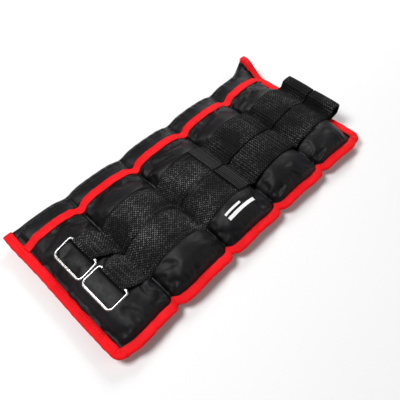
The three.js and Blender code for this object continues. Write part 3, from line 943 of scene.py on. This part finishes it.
def tail_z(u):
    """Lower face of a free strap: it rests on the pockets and hangs slack over the seams between them."""
    u = np.asarray(u, float)
    z = strap_z(u) + LAYER - STRAP_GAP
    slack = np.max([np.where(np.abs(u - s) < SLACK_REACH, 1 - ((u - s) / SLACK_REACH) ** 2, 0) for s in SEAMS], axis=0)
    return z + SLACK_RISE * slack


def tail_path():
    """From the free tip along the front, up into the standing fold, round its right side and under it."""
    along = np.linspace(TAIL_START - TIP_LENGTH, 309, 150)
    on = np.stack([along, tail_z(along)], 1)
    kernel = np.ones(9) / 9
    on[:, 1] = np.maximum(on[:, 1], np.convolve(np.pad(on[:, 1], 4, mode="edge"), kernel, "valid"))
    up = eased([on[-6], on[-1], (314.5, 20.2), (318.5, 20.0), (322.0, 20.6), (322.9, 24.0), (324.2, 26.8),
                (327, 27.5), (331.5, 27.4), (334.8, 26.6), (336.0, 23.6), (335.8, 18.8), (334.6, 15.4), (330, 14.2),
                (322, 14.0), (316, 16.6), (BASE_END + 0.5, float(strap_z(BASE_END)))])
    start = int(np.argmax(up[:, 0] >= on[-1, 0]))
    return np.vstack([on, up[start + 1:]])


LOWER_MIDDLE = 19  # the section's point in the middle of the lower face
BAR_TACKS = (241, 246, 252, 257)  # rows of stitches across each free strap
FOLD_LOW, FOLD_HIGH = 14.9, 26.4  # heights between which the fold's right side bends

for row, label in ((1, "far"), (-1, "near")):
    body = f"tail_{label}"
    co, flow = strap(tail_path(), row, STRAP, ridge=0.16, middle=float(rows_y(row, LENGTH)), sag=0.45)
    columns = co.shape[1]
    normals = vertex_normals(co.reshape(-1, 3), grid_faces(len(co), columns, close=True)[:, ::-1])
    normals = normals.reshape(co.shape)
    u, z = co[:, LOWER_MIDDLE, 0], co[:, LOWER_MIDDLE, 2]
    tip_end = int(np.argmin(np.abs(u[: len(u) // 2] - TAIL_START)))
    side = int(np.argmax((u > LENGTH + 4) & (z < FOLD_HIGH)))
    under = side + int(np.argmax(z[side:] < FOLD_LOW))
    for name, node, material, slot, lo, hi in (
        ("hook_tip_tape", "hook_tip", HOOK, "hook", 0, tip_end + 1),
        ("tail", "strap_tail", TAIL_WEBBING, "webbing", tip_end, side + 1),
        ("fold_side", "strap_fold", TAIL_WEBBING, "webbing", side, under + 1),
        ("fold_root", "strap_fold", TAIL_WEBBING, "webbing", under, len(co)),
    ):
        part = co[lo:hi]
        piece = new_piece(f"{name}_{label}", part.reshape(-1, 3), capped(part)[:, ::-1], material,
                          flow[lo:hi].reshape(-1, 2), normals[lo:hi].reshape(-1, 3))
        if name == "fold_side":
            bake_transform(piece)
        else:
            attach(piece, "pocket_5" if name == "fold_root" else body)
        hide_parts(f"{node}_{label}")
    lines = []
    for at_u in (TAIL_START + 2, TAIL_START - TIP_LENGTH + 1.6, *BAR_TACKS):
        k = int(np.argmin(np.abs(co[: side, 6, 0] - at_u)))
        lines.append(stitches(co[k, 1:12] + [0, 0, 0.1], pitch=2.7, radius=0.32))
    c, f = joined(lines)
    sewn = new_piece(f"tail_{label}_stitches", c, f, THREAD_BLACK)
    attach(sewn, body)


# Wire loops -----------------------------------------------------------------------------------------------------


WIRE_RADIUS = 1.3
WIRE_SIDES = 12
LOOP_TILT = math.radians(13)


def wire_loop(row, turn_deg):
    """A rounded rectangle of wire in a plane that slopes down to the cuff's end, turned a little in that plane."""
    half_y, reach, r_in, r_out = 17.8, 20.5, 2.6, 4.6
    corners = [(0, -half_y, r_in), (-reach, -half_y, r_out), (-reach, half_y, r_out), (0, half_y, r_in)]
    points = []
    for k, (x, y, r) in enumerate(corners):
        a0 = [0, -np.pi / 2, np.pi, np.pi / 2][k]
        cx, cy = x + (-r if x == 0 else r), y + (r if y < 0 else -r)
        for a in np.linspace(a0, a0 - np.pi / 2, 8):
            points.append((cx + r * math.cos(a), cy + r * math.sin(a)))
    p = np.array(points)
    out = -p[:, 0] / reach
    p[:, 1] += math.tan(math.radians(turn_deg)) * 20 * out
    tilt = LOOP_TILT
    line = np.stack([BAR_U + p[:, 0] * math.cos(tilt), p[:, 1] + rows_y(row, BAR_U),
                     BAR_Z + p[:, 0] * math.sin(tilt) + 0.25 * np.sin(out * 3)], 1)
    closed = np.vstack([line, line[:1]])
    fine = resample(closed, 1.0)[0][:-1]
    ahead = np.roll(fine, -1, axis=0) - np.roll(fine, 1, axis=0)
    ahead /= np.linalg.norm(ahead, axis=1, keepdims=True)
    plane = np.array([math.sin(tilt), 0, math.cos(tilt)])
    side = np.cross(ahead, plane)
    side /= np.linalg.norm(side, axis=1, keepdims=True)
    turn = np.linspace(0, 2 * np.pi, WIRE_SIDES, endpoint=False)
    ring = side[:, None] * np.cos(turn)[None, :, None] + plane * np.sin(turn)[None, :, None]
    co = fine[:, None] + WIRE_RADIUS * ring
    faces = grid_faces(len(fine) + 1, WIRE_SIDES, close=True) % (len(fine) * WIRE_SIDES)
    return co.reshape(-1, 3), faces


for row, label, turn in ((1, "far", -2.0), (-1, "near", 1.5)):
    co, faces = wire_loop(row, turn)
    loop = new_piece(f"wire_{label}", co, faces, STEEL)
    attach(loop, f"loop_{label}")
    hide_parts(f"wire_loop_{label}")


# Flap stitching, printed mark, and the hidden pieces -------------------------------------------------------------

flap_grid = flap.reshape(flap_rows, flap_columns, 3)
line_column = int(np.argmin(np.abs(flap_grid[0, :, 1] - (MOUTH + FLAP_SEAM))))
c, f = stitches(flap_grid[:, line_column] + [0, 0, 0.1], radius=0.28)
carried("flap_stitches", c, f, THREAD_BLACK)


cloth = BVHTree.FromPolygons(front.tolist(), grid_faces(front_rows, front_columns).tolist())


def printed_bar(u0, u1, y0, y1):
    us, ys = np.linspace(u0, u1, 40), np.linspace(y0, y1, 8)
    co = [(u, y, cloth.ray_cast(Vector((u, y, 60)), Vector((0, 0, -1)))[0].z + 0.22) for u in us for y in ys]
    return np.array(co), grid_faces(len(us), len(ys))


mark = MIDDLES[2]
c, f = joined([printed_bar(mark - 17, mark + 16, -60.5, -57.2), printed_bar(mark - 17, mark + 2, -55.0, -52.8)])
ink = new_piece("printed_bars", c, f, PRINT)
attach(ink, "pocket_3")
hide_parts("badge")

for name, node in ((n, bpy.data.objects[n]) for n in sorted(frame_nodes) if n in bpy.data.objects):
    if name.startswith("weight_bag"):
        node.data.materials.clear()
        node.data.materials.append(POUCH)
    if name.startswith("closure_tape"):
        node.data.materials.clear()
        node.data.materials.append(CLOSURE)


# Stage ----------------------------------------------------------------------------------------------------------


def stage():
    mesh = bpy.data.meshes.new("floor")
    s = 3.0
    mesh.from_pydata([(-s, -s, 0), (s, -s, 0), (s, s, 0), (-s, s, 0)], [], [(0, 1, 2, 3)])
    floor = bpy.data.objects.new("floor", mesh)
    n = Nodes("floor", Roughness=0.9)
    at = n.add("ShaderNodeTexCoord").outputs["Object"]
    n.set(Base_Color=n.mix(n.noise(at, 0.4, 2), grey(0.86), grey(0.9)))
    mesh.materials.append(n.material)
    bpy.context.scene.collection.objects.link(floor)
    world = bpy.data.worlds.new("studio")
    world.use_nodes = True
    world.node_tree.nodes["Background"].inputs["Color"].default_value = (1, 1, 1, 1)
    world.node_tree.nodes["Background"].inputs["Strength"].default_value = 0.09
    bpy.context.scene.world = world
    for name, place, size, power in (
        ("key", (-0.55, 0.35, 1.1), 0.5, 14.5),
        ("fill", (0.55, -0.9, 0.9), 0.8, 3.5),
        ("rim", (0.9, 0.5, 0.7), 0.4, 7),
    ):
        light = bpy.data.lights.new(name, "AREA")
        light.size = size
        light.energy = power
        lamp = bpy.data.objects.new(name, light)
        lamp.location = place
        lamp.rotation_euler = (Vector((0, 0, 0)) - Vector(place)).to_track_quat("-Z", "Y").to_euler()
        bpy.context.scene.collection.objects.link(lamp)


def camera():
    azimuth, elevation, distance = math.radians(-45.8), math.radians(53.5), 0.4516
    target = Vector((-0.0150, -0.0180, 0.010))
    back = Vector((math.sin(azimuth) * math.cos(elevation), -math.cos(azimuth) * math.cos(elevation),
                   math.sin(elevation)))
    data = bpy.data.cameras.new("camera")
    data.lens, data.sensor_width = 43.2, 36
    cam = bpy.data.objects.new("camera", data)
    cam.location = target + back * distance
    cam.rotation_euler = (-back).to_track_quat("-Z", "Y").to_euler()
    bpy.context.scene.collection.objects.link(cam)
    bpy.context.scene.camera = cam


stage()
camera()
bpy.context.scene.view_settings.view_transform = "Standard"
